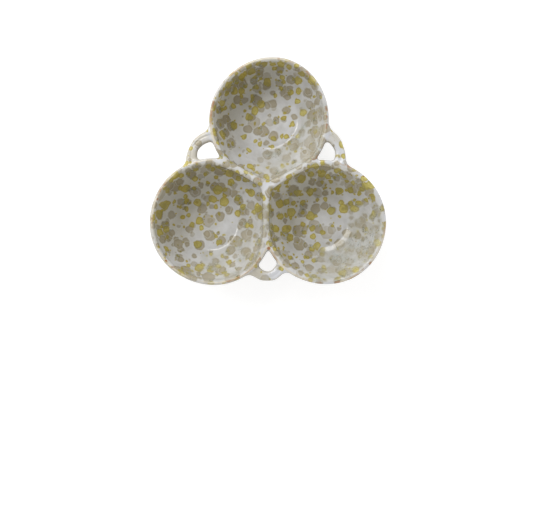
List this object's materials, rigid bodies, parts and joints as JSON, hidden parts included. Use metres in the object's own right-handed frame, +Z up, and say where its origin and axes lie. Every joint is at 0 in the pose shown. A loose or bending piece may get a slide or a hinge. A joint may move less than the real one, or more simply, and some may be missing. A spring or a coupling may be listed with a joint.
{
  "type": "divided serving bowl",
  "caption": "Clover-shaped stoneware serving dish: round bowls joined side by side with flat dividers, and a finger loop in each outer notch.",
  "frame": {"origin": "on the table under the middle of the whole dish's plan", "axes": "+Z up; +Y from the pair of front bowls towards the rear bowl; +X towards the right front bowl"},
  "size_m": [0.2469, 0.238, 0.0609],
  "materials": {
    "glazed_stoneware": "glossy pale grey glaze with spattered taupe and olive-yellow spots inside, satin beige-grey outside"
  },
  "bodies": {
    "root": {"bowl_left": "glazed_stoneware", "bowl_right": "glazed_stoneware", "bowl_rear": "glazed_stoneware", "seam_coil_front": "glazed_stoneware", "seam_coil_left": "glazed_stoneware", "seam_coil_right": "glazed_stoneware", "centre_plug": "glazed_stoneware", "loop_handle_front": "glazed_stoneware", "loop_handle_left": "glazed_stoneware", "loop_handle_right": "glazed_stoneware"}
  },
  "joints": []
}
